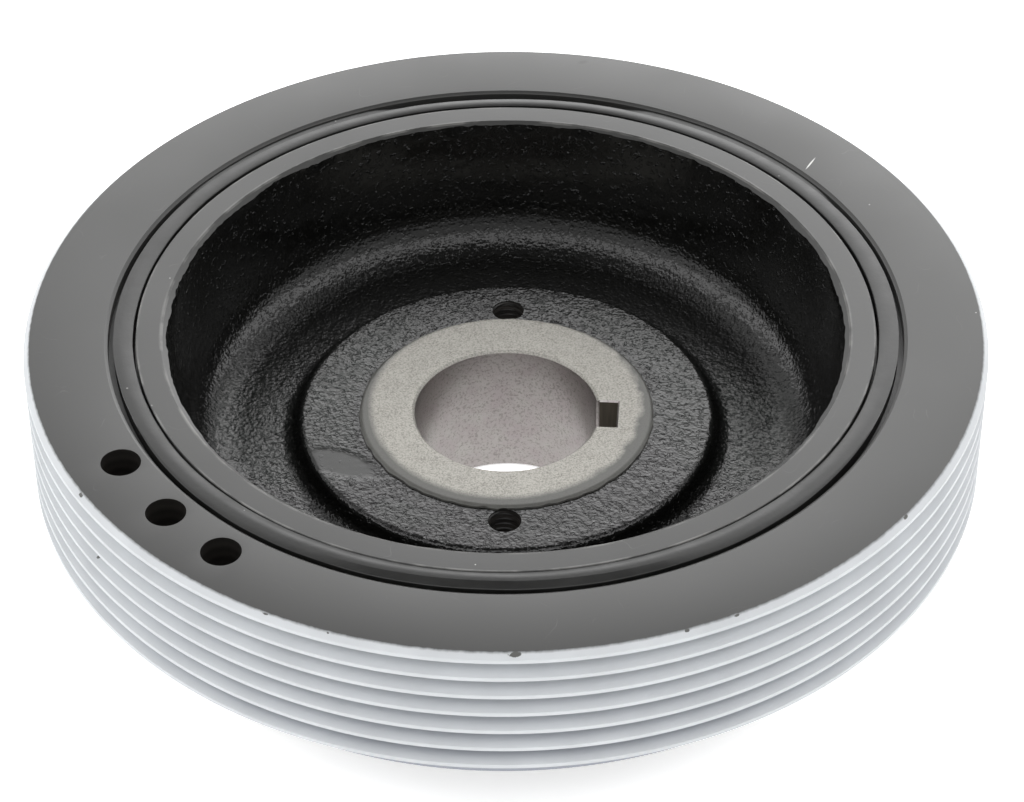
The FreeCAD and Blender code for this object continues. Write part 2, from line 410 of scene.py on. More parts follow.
def gloss_black(colours):
    """Gloss black enamel over sand-cast iron: it mirrors the surround on flat tops between small pits.

    One patch on the boss is smooth, where the paint pooled. The steep wall has small raised nibs,
    and the floor a fine ripple. Both are drawn coarser than real moulding sand, so that they show.
    """
    wall_foot, wall_head = FRONT_Z - 17 * MM, FRONT_Z - 12 * MM
    ripple_top, ripple_floor = FRONT_Z - 13 * MM, FRONT_Z - 22 * MM
    material, tree, shader, place = new_material("gloss_black_on_casting")
    dull = add(tree, "ShaderNodeTexNoise", (), {"Vector": place, "Scale": per(6), "Detail": 2.0})
    rough = add(tree, "ShaderNodeMapRange", (), {
        "Value": dull, "From Min": 0.35, "From Max": 0.65, "To Min": 0.12, "To Max": 0.2})
    sand = add(tree, "ShaderNodeTexNoise", (), {
        "Vector": place, "Scale": per(0.85), "Detail": 2.0, "Roughness": 0.5})
    pits = add(tree, "ShaderNodeMapRange", {"interpolation_type": "SMOOTHSTEP"}, {
        "Value": sand, "From Min": 0.34, "From Max": 0.44})
    patch = spot_distance(tree, place, **SMOOTH_PATCH)
    rough_skin = add(tree, "ShaderNodeMapRange", {"interpolation_type": "SMOOTHSTEP"}, {
        "Value": patch, "From Min": 0.7, "From Max": 1.2})
    level = add(tree, "ShaderNodeSeparateXYZ", (), [place]).outputs["Z"]
    on_wall = add(tree, "ShaderNodeMapRange", {"interpolation_type": "SMOOTHSTEP"}, {
        "Value": level, "From Min": wall_foot, "From Max": wall_head, "To Min": 1.0, "To Max": 0.2})
    skin = add(tree, "ShaderNodeMath", {"operation": "MULTIPLY"}, [pits, rough_skin])
    even = add(tree, "ShaderNodeMath", {"operation": "MULTIPLY"}, [skin, on_wall])
    sprinkle = add(tree, "ShaderNodeTexNoise", (), {
        "Vector": place, "Scale": per(0.9), "Detail": 2.0, "Roughness": 0.6})
    nibs = add(tree, "ShaderNodeMapRange", {"interpolation_type": "SMOOTHSTEP"}, {
        "Value": sprinkle, "From Min": 0.6, "From Max": 0.7})
    steep = add(tree, "ShaderNodeMapRange", (), {
        "Value": level, "From Min": wall_foot, "From Max": wall_head, "To Min": 0.2, "To Max": 3.0})
    ripple = add(tree, "ShaderNodeTexNoise", (), {
        "Vector": place, "Scale": per(0.55), "Detail": 1.0, "Roughness": 0.5})
    deep = add(tree, "ShaderNodeMapRange", (), {
        "Value": level, "From Min": ripple_top, "From Max": ripple_floor, "To Min": 0.0, "To Max": 2.4})
    coarse = add(tree, "ShaderNodeMath", {"operation": "MULTIPLY"}, [deep, rough_skin])
    even = add(tree, "ShaderNodeMath", {"operation": "MULTIPLY_ADD"}, [ripple, coarse, even])
    height = add(tree, "ShaderNodeMath", {"operation": "MULTIPLY_ADD"}, [nibs, steep, even])
    bump = add(tree, "ShaderNodeBump", (), {"Height": height, "Distance": 0.06 * MM, "Strength": 1.0})
    feed(tree, shader, {
        "Base Color": linear(colours.gloss_black), "IOR": 1.44, "Roughness": rough, "Normal": bump})
    return material


def bare_iron(colours):
    """Shot-blasted bare iron on the land: warm grey grain, with smooth grey overspray at its edge.

    The overspray is a crescent: the masking cap sat a little towards the far side.
    """
    material, tree, shader, place = new_material("blasted_iron_with_overspray")
    grit = add(tree, "ShaderNodeTexNoise", (), {
        "Vector": place, "Scale": per(0.3), "Detail": 3.0, "Roughness": 0.7})
    patch = add(tree, "ShaderNodeTexNoise", (), {"Vector": place, "Scale": per(4), "Detail": 2.0})
    mixed = add(tree, "ShaderNodeMix", {"data_type": "FLOAT"}, {"Factor": 0.12, 2: grit, 3: patch})
    tone = add(tree, "ShaderNodeValToRGB", (), {"Fac": mixed})
    tone.color_ramp.elements[0].position = 0.25
    tone.color_ramp.elements[0].color = linear(colours.iron_dark)
    tone.color_ramp.elements[1].position = 0.56
    tone.color_ramp.elements[1].color = linear(colours.bare_iron)
    reach = spot_distance(tree, place, **MASKING_CAP)
    ragged = add(tree, "ShaderNodeTexNoise", (), {"Vector": place, "Scale": per(2.6), "Detail": 2.0})
    side = add(tree, "ShaderNodeSeparateXYZ", (), [place])
    ripple = add(tree, "ShaderNodeMapRange", (), {
        "Value": side.outputs["X"], "From Min": 8 * MM, "From Max": 21 * MM, "To Min": 0.02, "To Max": 0.12})
    lift = add(tree, "ShaderNodeMath", {"operation": "SUBTRACT"}, [ragged, 0.5])
    wave = add(tree, "ShaderNodeMath", {"operation": "MULTIPLY"}, [lift, ripple])
    edge = add(tree, "ShaderNodeMath", {"operation": "ADD"}, [reach, wave])
    coat = add(tree, "ShaderNodeMapRange", (), {
        "Value": edge, "From Min": 0.975, "From Max": 1.035, "To Min": 0.0, "To Max": 0.92})
    colour = add(tree, "ShaderNodeMix", {"data_type": "RGBA"}, {
        "Factor": coat, 6: tone, 7: linear(colours.overspray)})
    bare = add(tree, "ShaderNodeMath", {"operation": "SUBTRACT"}, [1.0, coat])
    rough = add(tree, "ShaderNodeMapRange", (), {
        "Value": coat, "From Min": 0, "From Max": 1, "To Min": 0.62, "To Max": 0.42})
    depth = add(tree, "ShaderNodeMath", {"operation": "MULTIPLY"}, [grit, bare])
    bump = add(tree, "ShaderNodeBump", (), {"Height": depth, "Distance": 0.05 * MM, "Strength": 0.7})
    feed(tree, shader, {"Base Color": colour, "Metallic": bare, "Roughness": rough, "Normal": bump})
    return material


def bored_iron(colours):
    """Honed grey iron bore: soft grey with a warm tint and open graphite pits."""
    material, tree, shader, place = new_material("bored_grey_iron")
    cloud = add(tree, "ShaderNodeTexNoise", (), {
        "Vector": place, "Scale": per(3.5), "Detail": 6.0, "Roughness": 0.65})
    tint = add(tree, "ShaderNodeMapRange", (), {"Value": cloud, "From Min": 0.35, "From Max": 0.65})
    base = add(tree, "ShaderNodeMix", {"data_type": "RGBA"}, {
        "Factor": tint, 6: linear(colours.bore_grey), 7: linear(colours.bore_pink)})
    pores = add(tree, "ShaderNodeTexNoise", (), {
        "Vector": place, "Scale": per(0.42), "Detail": 3.0, "Roughness": 0.7})
    pit = add(tree, "ShaderNodeMapRange", (), {
        "Value": pores, "From Min": 0.36, "From Max": 0.49, "To Min": 0.35, "To Max": 1.0})
    colour = add(tree, "ShaderNodeMix", {"data_type": "RGBA"}, {
        "Factor": pit, 6: linear(colours.iron_dark), 7: base})
    bump = add(tree, "ShaderNodeBump", (), {"Height": pit, "Distance": 0.04 * MM, "Strength": 0.5})
    feed(tree, shader, {"Base Color": colour, "Metallic": 1.0, "Roughness": 0.3, "Normal": bump})
    return material


def broached_iron(colours):
    """Broached keyway: dark oily iron with streaks along the tool's way."""
    material, tree, shader, place = new_material("broached_keyway")
    stretch = add(tree, "ShaderNodeMapping", (), {"Vector": place, "Scale": (1, 1, 0.08)})
    streaks = add(tree, "ShaderNodeTexNoise", (), {"Vector": stretch, "Scale": per(0.5), "Detail": 3.0})
    colour = mottled(tree, colours.keyway_dark, streaks, (0.0, 1.0), (0.6, 1.4))
    bump = add(tree, "ShaderNodeBump", (), {"Height": streaks, "Distance": 0.03 * MM, "Strength": 0.5})
    feed(tree, shader, {"Base Color": colour, "Metallic": 0.6, "Roughness": 0.5, "Normal": bump})
    return material


def ground_steel(colours):
    """Ground snout: pale steel with fine lines round the axis, where the oil seal runs."""
    material, tree, shader, place = new_material("ground_snout")
    stretch = add(tree, "ShaderNodeMapping", (), {"Vector": place, "Scale": (0.05, 0.05, 1)})
    lines = add(tree, "ShaderNodeTexNoise", (), {"Vector": stretch, "Scale": per(0.25), "Detail": 2.0})
    colour = mottled(tree, colours.ground_steel, lines, (0.0, 1.0), (0.85, 1.1))
    rough = add(tree, "ShaderNodeMapRange", (), {"Value": lines, "To Min": 0.22, "To Max": 0.42})
    feed(tree, shader, {"Base Color": colour, "Metallic": 1.0, "Roughness": rough})
    return material


def ring_paint(colours):
    """The ring's two coats: satin black on the front face, light grey primer on the belt track.

    The masking line between them runs ragged along the rim's chamfer, with a few black chips.
    """
    mask_from, mask_to = 75.9 * MM, 76.25 * MM
    groove_root, groove_tip = TRACK_R - 3.1 * MM, TRACK_R - 0.2 * MM
    track_top, track_foot = FRONT_Z - 2 * MM, FRONT_Z - 23 * MM
    material, tree, shader, place = new_material("masked_black_and_grey_paint")
    black, black_rough = satin_coat(tree, place, colours)
    flat = add(tree, "ShaderNodeVectorMath", {"operation": "MULTIPLY"}, [place, (1, 1, 0)])
    radius = add(tree, "ShaderNodeVectorMath", {"operation": "LENGTH"}, [flat])
    height = add(tree, "ShaderNodeSeparateXYZ", (), [place]).outputs["Z"]
    ragged = add(tree, "ShaderNodeTexNoise", (), {
        "Vector": flat, "Scale": per(1.2), "Detail": 4.0, "Roughness": 0.6})
    drift = add(tree, "ShaderNodeMath", {"operation": "MULTIPLY_ADD"}, [ragged, 0.3 * MM, -0.15 * MM])
    edge = add(tree, "ShaderNodeMath", {"operation": "ADD"}, [radius, drift])
    outside = add(tree, "ShaderNodeMapRange", (), {
        "Value": edge, "From Min": mask_from, "From Max": mask_to})
    below = add(tree, "ShaderNodeMapRange", (), {
        "Value": height, "From Min": FRONT_Z - 1.2 * MM, "From Max": FRONT_Z - 1.25 * MM})
    off_bore = add(tree, "ShaderNodeMath", {"operation": "GREATER_THAN"}, {
        0: radius, 1: RING_BORE_R + 0.2 * MM})
    behind = add(tree, "ShaderNodeMath", {"operation": "MULTIPLY"}, [below, off_bore])
    cover = add(tree, "ShaderNodeMath", {"operation": "MAXIMUM"}, [outside, behind])
    chipped = None
    for degrees, r, drop, half_length, half_height in CHIPS:
        turn = math.radians(degrees)
        centre = (r * MM * math.cos(turn), r * MM * math.sin(turn), FRONT_Z - drop * MM)
        half_sizes = (half_height * MM, half_length * MM, half_height * MM)
        away = spot_distance(tree, place, centre, half_sizes, turn)
        torn = add(tree, "ShaderNodeMath", {"operation": "MULTIPLY_ADD"}, [ragged, 2.4, away])
        bare = add(tree, "ShaderNodeMapRange", (), {"Value": torn, "From Min": 2.2, "From Max": 2.0})
        if chipped:
            bare = add(tree, "ShaderNodeMath", {"operation": "MAXIMUM"}, [chipped, bare])
        chipped = bare
    cloud = add(tree, "ShaderNodeTexNoise", (), {"Vector": place, "Scale": per(8), "Detail": 3.0})
    primer = mottled(tree, colours.track_grey, cloud, (0.3, 0.7), (0.94, 1.03))
    # Painted shade: towards the groove roots the primer turns a darker blue grey, more so on the lower
    # grooves and on the near side; the collar behind the track takes most of it too
    depth = add(tree, "ShaderNodeMapRange", (), {
        "Value": radius, "From Min": groove_root, "From Max": groove_tip, "To Min": 1.0, "To Max": 0.0})
    lower = add(tree, "ShaderNodeMapRange", (), {
        "Value": height, "From Min": track_top, "From Max": track_foot, "To Min": 0.12, "To Max": 1.0})
    across = add(tree, "ShaderNodeSeparateXYZ", (), [place]).outputs["Y"]
    near = add(tree, "ShaderNodeMapRange", (), {
        "Value": across, "From Min": -25 * MM, "From Max": -70 * MM, "To Min": 0.4, "To Max": 1.0})
    on_track = add(tree, "ShaderNodeMapRange", (), {
        "Value": radius, "From Min": TRACK_R - 4.6 * MM, "From Max": TRACK_R - 4.4 * MM,
        "To Min": 0.85, "To Max": 1.0})
    low_part = add(tree, "ShaderNodeMath", {"operation": "MULTIPLY"}, [depth, lower])
    near_part = add(tree, "ShaderNodeMath", {"operation": "MULTIPLY"}, [near, on_track])
    painted_shade = add(tree, "ShaderNodeMath", {"operation": "MULTIPLY"}, [low_part, near_part])
    shaded_primer = add(tree, "ShaderNodeMix", {"data_type": "RGBA"}, {
        "Factor": painted_shade, 6: primer, 7: linear(colours.groove_shade)})
    coated = add(tree, "ShaderNodeMix", {"data_type": "RGBA"}, {"Factor": cover, 6: black, 7: shaded_primer})
    scratch = spot_distance(tree, place, **SCRATCH)
    scratched = add(tree, "ShaderNodeMapRange", (), {
        "Value": scratch, "From Min": 1.2, "From Max": 0.7, "To Min": 0.0, "To Max": 0.8})
    smear = spot_distance(tree, place, **SMEAR)
    smeared = add(tree, "ShaderNodeMapRange", (), {
        "Value": smear, "From Min": 1.3, "From Max": 0.4, "To Min": 0.0, "To Max": 0.7})
    colour = coated
    marks = (scratched, colours.scratch), (smeared, colours.gloss_black), (chipped, colours.chip)
    for share, code in marks:
        colour = add(tree, "ShaderNodeMix", {"data_type": "RGBA"}, {
            "Factor": share, 6: colour, 7: linear(code)})
    rough = add(tree, "ShaderNodeMix", {"data_type": "FLOAT"}, {"Factor": cover, 2: black_rough, 3: 0.5})
    peel = add(tree, "ShaderNodeTexNoise", (), {"Vector": place, "Scale": per(0.9), "Detail": 1.0})
    film = add(tree, "ShaderNodeMath", {"operation": "MULTIPLY_ADD"}, [peel, 0.1, cover])
    bump = add(tree, "ShaderNodeBump", (), {"Height": film, "Distance": 0.04 * MM, "Strength": 0.6})
    feed(tree, shader, {"Base Color": colour, "Roughness": rough, "Normal": bump})
    return material


def drilled_black(colours):
    """Drilled iron wetted with black paint: dark, with the drill's rings just showing."""
    material, tree, shader, place = new_material("painted_drilling")
    rings = add(tree, "ShaderNodeTexWave", {"bands_direction": "Z"}, {
        "Vector": place, "Scale": per(6), "Distortion": 1.5, "Detail": 2.0})
    colour = mottled(tree, colours.drilling, rings, (0.0, 1.0), (0.7, 1.4))
    bump = add(tree, "ShaderNodeBump", (), {"Height": rings, "Distance": 0.03 * MM, "Strength": 0.4})
    feed(tree, shader, {"Base Color": colour, "Roughness": 0.4, "Normal": bump})
    return material


def painted_rubber(colours):
    """Moulded rubber under a thin coat of the black paint: a soft sheen, scuffed pale in spots."""
    material, tree, shader, place = new_material("painted_rubber")
    smear = add(tree, "ShaderNodeTexNoise", (), {"Vector": place, "Scale": per(3.5), "Detail": 4.0})
    colour = mottled(tree, colours.rubber, smear, (0.3, 0.7), (0.85, 1.2))
    scuffs = specks(tree, place, 3.0, 0.22, 0.3)
    dull = add(tree, "ShaderNodeMath", {"operation": "MULTIPLY"}, [scuffs, 0.35])
    scuffed = add(tree, "ShaderNodeMix", {"data_type": "RGBA"}, {
        "Factor": dull, 6: colour, 7: linear(colours.pale_scuff)})
    rough = add(tree, "ShaderNodeMapRange", (), {"Value": smear, "To Min": 0.28, "To Max": 0.5})
    skin = add(tree, "ShaderNodeTexNoise", (), {"Vector": place, "Scale": per(0.8), "Detail": 2.0})
    bump = add(tree, "ShaderNodeBump", (), {"Height": skin, "Distance": 0.04 * MM, "Strength": 0.4})
    feed(tree, shader, {"Base Color": scuffed, "Roughness": rough, "Normal": bump})
    return material


# Pulley ring

# Sizes that follow from the node tree's inputs: a name, an operation and its terms
RING_SUMS = [
    ("Half Angle", "MULTIPLY", "Groove Angle", 0.5),
    ("Half Pitch", "MULTIPLY", "Groove Pitch", 0.5),
    ("Half Tip", "MULTIPLY", "Rib Tip", 0.5),
    ("Half Mouth", "SUBTRACT", "Half Pitch", "Half Tip"),
    ("Flank Slope", "TANGENT", "Half Angle"),
    ("Flank Run", "MULTIPLY", "Groove Depth", "Flank Slope"),
    ("Half Root", "SUBTRACT", "Half Mouth", "Flank Run"),
    ("Root Below", "MULTIPLY", "Half Root", -1.0),
    ("Mouth Below", "MULTIPLY", "Half Mouth", -1.0),
    ("Pitch Below", "MULTIPLY", "Half Pitch", -1.0),
    ("Groove Step", "MULTIPLY", "Groove Pitch", -1.0),
    ("Root Radius", "SUBTRACT", "Track Radius", "Groove Depth"),
    ("Chamfer Radius", "SUBTRACT", "Track Radius", "Rim Chamfer"),
    ("Collar Radius", "SUBTRACT", "Track Radius", "Collar Drop"),
    ("Collar Edge Radius", "SUBTRACT", "Collar Radius", "Edge"),
    ("Bore Edge Radius", "ADD", "Bore Radius", "Edge"),
    ("Bevel Radius", "ADD", "Bore Radius", "Bevel Width"),
    ("Track Front Z", "SUBTRACT", "Front Z", "Rim Chamfer"),
    ("Edge To Middle", "ADD", "Half Tip", "Half Pitch"),
    ("First Middle Z", "SUBTRACT", "Track Front Z", "Edge To Middle"),
    ("First Edge Z", "SUBTRACT", "Track Front Z", "Half Tip"),
    ("Track Run", "MULTIPLY", "Groove Count", "Groove Pitch"),
    ("Last Edge Z", "SUBTRACT", "First Edge Z", "Track Run"),
    ("Track Rear Z", "SUBTRACT", "Last Edge Z", "Half Tip"),
    ("Track End Z", "SUBTRACT", "Track Rear Z", "Rim Chamfer"),
    ("Rear Edge Z", "ADD", "Rear Z", "Edge"),
    ("Bevel Z", "SUBTRACT", "Front Z", "Bevel Depth"),
    ("Extra Round", "SUBTRACT", "Root Round", "Tip Round"),
    ("Barrel Length", "ADD", "Drill Depth", DRILL_ABOVE),
    ("Barrel Reach", "SUBTRACT", "Drill Depth", DRILL_ABOVE),
    ("Barrel Z", "MULTIPLY", "Barrel Reach", -0.5),
    ("Half Point", "MULTIPLY", "Drill Point", 0.5),
    ("Point Slope", "TANGENT", "Half Point"),
    ("Point Length", "DIVIDE", "Drill Radius", "Point Slope"),
    ("Point Depth", "ADD", "Drill Depth", "Point Length"),
    ("Point Z", "MULTIPLY", "Point Depth", -1.0)]

# Corners of one groove, and of the ring's section without its grooves, as the names of r and z
GROOVE_CORNERS = [
    ("Track Radius", "Half Pitch"), ("Track Radius", "Half Mouth"), ("Root Radius", "Half Root"),
    ("Root Radius", "Root Below"), ("Track Radius", "Mouth Below"), ("Track Radius", "Pitch Below")]
SHELL_CORNERS = [
    ("Track Radius", "Last Edge Z"), ("Track Radius", "Track Rear Z"), ("Chamfer Radius", "Track End Z"),
    ("Collar Radius", "Track End Z"), ("Collar Radius", "Rear Edge Z"), ("Collar Edge Radius", "Rear Z"),
    ("Bore Edge Radius", "Rear Z"), ("Bore Radius", "Rear Edge Z"), ("Bore Radius", "Bevel Z"),
    ("Bevel Radius", "Front Z"), ("Chamfer Radius", "Front Z"), ("Track Radius", "Track Front Z"),
    ("Track Radius", "First Edge Z")]


def ring_inputs(tree, values):
    """Give the node tree one named input for each size, and return their sockets by name."""
    for name, value in values.items():
        kind = "NodeSocketInt" if isinstance(value, int) else "NodeSocketFloat"
        tree.interface.new_socket(name, in_out="INPUT", socket_type=kind)
    tree.interface.new_socket("Geometry", in_out="OUTPUT", socket_type="NodeSocketGeometry")
    sockets = add(tree, "NodeGroupInput").outputs
    return {name: sockets[name] for name in values}


def points_line(tree, places):
    """A line of points, each given as x, y and z by sockets, nodes or numbers."""
    index = add(tree, "GeometryNodeInputIndex")
    switch = add(tree, "GeometryNodeIndexSwitch", {"data_type": "VECTOR"})
    while len(switch.index_switch_items) < len(places):
        switch.index_switch_items.new()
    feed(tree, switch, [index] + [add(tree, "ShaderNodeCombineXYZ", (), list(place)) for place in places])
    line = add(tree, "GeometryNodeMeshLine", (), {"Count": len(places)})
    return add(tree, "GeometryNodeSetPosition", (), {"Geometry": line, "Position": switch})


def ring_section(tree, size):
    """The ring's section as a closed curve with rounded corners: one groove repeated, joined to the rest."""
    groove = points_line(tree, [(size[r], 0.0, size[z]) for r, z in GROOVE_CORNERS])
    step = add(tree, "ShaderNodeCombineXYZ", (), {"Z": size["Groove Step"]})
    start = add(tree, "ShaderNodeCombineXYZ", (), {"Z": size["First Middle Z"]})
    middles = add(tree, "GeometryNodeMeshLine", {"mode": "OFFSET"}, {
        "Count": size["Groove Count"], "Start Location": start, "Offset": step})
    grooves = add(tree, "GeometryNodeInstanceOnPoints", (), {"Points": middles, "Instance": groove})
    track = add(tree, "GeometryNodeRealizeInstances", (), [grooves])
    shell = points_line(tree, [(size[r], 0.0, size[z]) for r, z in SHELL_CORNERS])
    both = add(tree, "GeometryNodeJoinGeometry", (), [track])
    feed(tree, both, [shell])
    joined = add(tree, "GeometryNodeMergeByDistance", (), {"Geometry": both, "Distance": 0.001 * MM})
    section = add(tree, "GeometryNodeMeshToCurve", (), {"Mesh": joined})

    # Groove roots and the collar's foot have their own radii, and every other corner the paint's
    spot = add(tree, "ShaderNodeSeparateXYZ", (), [add(tree, "GeometryNodeInputPosition")])
    at_root, at_collar, at_foot = [
        add(tree, "ShaderNodeMath", {"operation": "COMPARE"}, [spot.outputs[axis], size[name], 0.1 * MM])
        for axis, name in (("X", "Root Radius"), ("X", "Collar Radius"), ("Z", "Track End Z"))]
    foot = add(tree, "ShaderNodeMath", {"operation": "MULTIPLY"}, [at_collar, at_foot])
    corner = add(tree, "ShaderNodeMath", {"operation": "MULTIPLY_ADD"}, [
        at_root, size["Extra Round"], size["Tip Round"]])
    radius = add(tree, "ShaderNodeMath", {"operation": "MULTIPLY_ADD"}, [
        foot, size["Collar Fillet"], corner])
    return add(tree, "GeometryNodeFilletCurve", {"mode": "POLY"}, {
        "Curve": section, "Radius": radius, "Count": 3, "Limit Radius": True})


def turned_section(tree, size, section):
    """The section turned about the axis: a grid whose points are taken from it, row by row."""
    count = add(tree, "GeometryNodeAttributeDomainSize", {"component": "CURVE"}, [section])
    rows = add(tree, "ShaderNodeMath", {"operation": "ADD"}, [count, 1.0])
    columns = add(tree, "ShaderNodeMath", {"operation": "ADD"}, [size["Segments"], 1.0])
    grid = add(tree, "GeometryNodeMeshGrid", (), {"Vertices X": columns, "Vertices Y": rows})
    index = add(tree, "GeometryNodeInputIndex")
    in_column = add(tree, "ShaderNodeMath", {"operation": "FLOORED_MODULO"}, [index, rows])
    row = add(tree, "ShaderNodeMath", {"operation": "FLOORED_MODULO"}, [in_column, count])
    past = add(tree, "ShaderNodeMath", {"operation": "ADD"}, [index, 0.5])
    columns_past = add(tree, "ShaderNodeMath", {"operation": "DIVIDE"}, [past, rows])
    column = add(tree, "ShaderNodeMath", {"operation": "FLOOR"}, [columns_past])
    share = add(tree, "ShaderNodeMath", {"operation": "DIVIDE"}, [column, size["Segments"]])
    turn = add(tree, "ShaderNodeMath", {"operation": "MULTIPLY"}, [share, FULL_TURN])
    sample = add(tree, "GeometryNodeSampleIndex", {"data_type": "FLOAT_VECTOR", "domain": "POINT"}, {
        "Geometry": section, "Value": add(tree, "GeometryNodeInputPosition"), "Index": row})
    place = add(tree, "ShaderNodeVectorRotate", {"rotation_type": "Z_AXIS"}, {
        "Vector": sample, "Angle": turn})
    turned = add(tree, "GeometryNodeSetPosition", (), {"Geometry": grid, "Position": place})
    return add(tree, "GeometryNodeMergeByDistance", (), {"Geometry": turned, "Distance": 0.001 * MM})


def drill_bits(tree, size, material):
    """One cutter with a drill point for each balance drilling, in the drilling's own material."""
    barrel = add(tree, "GeometryNodeMeshCylinder", {"fill_type": "NGON"}, {
        "Vertices": DRILL_FACETS, "Radius": size["Drill Radius"], "Depth": size["Barrel Length"]})
    cone = add(tree, "GeometryNodeMeshCone", {"fill_type": "NGON"}, {
        "Vertices": DRILL_FACETS, "Radius Top": size["Drill Radius"], "Radius Bottom": 0.0,
        "Depth": size["Point Length"]})
    bit = add(tree, "GeometryNodeMeshBoolean", {"operation": "UNION", "solver": "EXACT"})
    for part, height in ((barrel, "Barrel Z"), (cone, "Point Z")):
        shift = add(tree, "ShaderNodeCombineXYZ", (), {"Z": size[height]})
        feed(tree, bit, {"Mesh 2": add(tree, "GeometryNodeTransform", (), {0: part, "Translation": shift})})
    black_bit = add(tree, "GeometryNodeSetMaterial", (), {"Geometry": bit, "Material": material})
    places = []
    for degrees, inset in DRILLINGS:
        reach = add(tree, "ShaderNodeMath", {"operation": "ADD"}, [size["Bore Radius"], inset * MM])
        direction = math.cos(math.radians(degrees)), math.sin(math.radians(degrees))
        x, y = [add(tree, "ShaderNodeMath", {"operation": "MULTIPLY"}, [reach, part]) for part in direction]
        places.append((x, y, size["Front Z"]))
    bits = add(tree, "GeometryNodeInstanceOnPoints", (), {
        "Points": points_line(tree, places), "Instance": black_bit})
    return add(tree, "GeometryNodeRealizeInstances", (), [bits])


def ring_tree(values, body_material, drill_material):
    """Node tree for the pulley ring: its section, turned about the axis and then drilled."""
    tree = bpy.data.node_groups.new("ribbed_pulley_ring", "GeometryNodeTree")
    size = ring_inputs(tree, values)
    for name, operation, *terms in RING_SUMS:
        size[name] = add(tree, "ShaderNodeMath", {"operation": operation, "label": name}, [
            size.get(term, term) for term in terms])
    body = turned_section(tree, size, ring_section(tree, size))
    painted = add(tree, "GeometryNodeSetMaterial", (), {"Geometry": body, "Material": body_material})
    drilled = add(tree, "GeometryNodeMeshBoolean", {"operation": "DIFFERENCE", "solver": "EXACT"}, {
        "Mesh 1": painted, "Mesh 2": drill_bits(tree, size, drill_material)})
    real = add(tree, "GeometryNodeRealizeInstances", (), [drilled])
    in_drilling = add(tree, "GeometryNodeMaterialSelection", (), {"Material": drill_material})
    on_body = add(tree, "FunctionNodeBooleanMath", {"operation": "NOT"}, [in_drilling])
    ended = add(tree, "GeometryNodeSetMaterial", (), {
        "Geometry": real, "Selection": on_body, "Material": body_material})
    add(tree, "NodeGroupOutput", (), [ended])
    return tree


def build_by_nodes(name, tree, values):
    """Run a node tree once and keep its result as a plain mesh object."""
    carrier = bpy.data.objects.new(name + "_source", bpy.data.meshes.new(name + "_source"))
    bpy.context.scene.collection.objects.link(carrier)
    modifier = carrier.modifiers.new("Nodes", "NODES")
    modifier.node_group = tree
    sockets = {item.name: item.identifier for item in tree.interface.items_tree if item.in_out == "INPUT"}
    for key, value in values.items():
        modifier[sockets[key]] = value
    evaluated = carrier.evaluated_get(bpy.context.evaluated_depsgraph_get())
    mesh = bpy.data.meshes.new_from_object(evaluated)
    carrier.modifiers.remove(modifier)
    bpy.data.objects.remove(carrier)
    mesh.name = name
    obj = bpy.data.objects.new(name, mesh)
    bpy.context.scene.collection.objects.link(obj)
    return obj


def face_outwards(mesh):
    """Merge doubles and point all faces outwards."""
    work = bmesh.new()
    work.from_mesh(mesh)
    bmesh.ops.remove_doubles(work, verts=work.verts, dist=0.0005 * MM)
    bmesh.ops.dissolve_degenerate(work, edges=work.edges, dist=0.0002 * MM)
    bmesh.ops.recalc_face_normals(work, faces=work.faces)
    work.to_mesh(mesh)
    work.free()


def shade_by_angle(mesh, degrees, soft_slots=()):
    """Smooth shading with sharp edges over the angle. Faces of the soft slots stay smooth together."""
    work = bmesh.new()
    work.from_mesh(mesh)
    limit = math.radians(degrees)
    for face in work.faces:
        face.smooth = True
    for edge in work.edges:
        faces = edge.link_faces
        soft = len(faces) == 2 and all(face.material_index in soft_slots for face in faces)
        edge.smooth = soft or (len(faces) == 2 and edge.calc_face_angle(0) < limit)
    work.to_mesh(mesh)
    work.free()


class BALANCER_OT_pulley_ring(bpy.types.Operator):
    """Build the pulley ring: six belt grooves, three balance drillings and the collar behind."""
    bl_idname = "balancer.pulley_ring"
    bl_label = "Pulley ring"

    def execute(self, context):
        sizes = context.scene.balancer_ring
        colours = context.scene.balancer_colours
        values = {
            "Groove Count": sizes.groove_count, "Groove Pitch": sizes.groove_pitch,
            "Groove Angle": sizes.groove_angle, "Groove Depth": sizes.groove_depth,
            "Rib Tip": sizes.rib_tip, "Tip Round": sizes.tip_round, "Root Round": sizes.root_round,
            "Rim Chamfer": sizes.rim_chamfer, "Edge": sizes.edge, "Collar Drop": sizes.collar_drop,
            "Bevel Width": sizes.bevel_width, "Bevel Depth": sizes.bevel_depth,
            "Collar Fillet": sizes.collar_fillet, "Drill Radius": sizes.drill_r,
            "Drill Depth": sizes.drill_depth, "Drill Point": sizes.drill_point,
            "Segments": sizes.segments, "Track Radius": TRACK_R, "Bore Radius": RING_BORE_R,
            "Front Z": FRONT_Z, "Rear Z": RING_BOX[0].z}
        tree = ring_tree(values, ring_paint(colours), drilled_black(colours))
        ring = build_by_nodes("belt_pulley_ring", tree, values)
        face_outwards(ring.data)
        shade_by_angle(ring.data, 28)
        finish_piece(ring, "pulley_ring")
        return {"FINISHED"}


# Rubber ring

def turned_mesh(name, rows, bands, closed=True):
    """A mesh from rings of points about the axis. A band numbers the material between two rings."""
    rings, sectors = rows.shape[:2]
    upper = np.arange(rings if closed else rings - 1)
    lower = (upper + 1) % rings
    here = np.arange(sectors)
    beside = (here + 1) % sectors
    faces = np.stack([
        upper[:, None] * sectors + here, lower[:, None] * sectors + here,
        lower[:, None] * sectors + beside, upper[:, None] * sectors + beside], axis=-1).reshape(-1, 4)
    mesh = bpy.data.meshes.new(name)
    mesh.from_pydata(rows.reshape(-1, 3).tolist(), [], faces.tolist())
    mesh.polygons.foreach_set("material_index", np.repeat(bands, sectors).astype(np.int32))
    mesh.update()
    return mesh


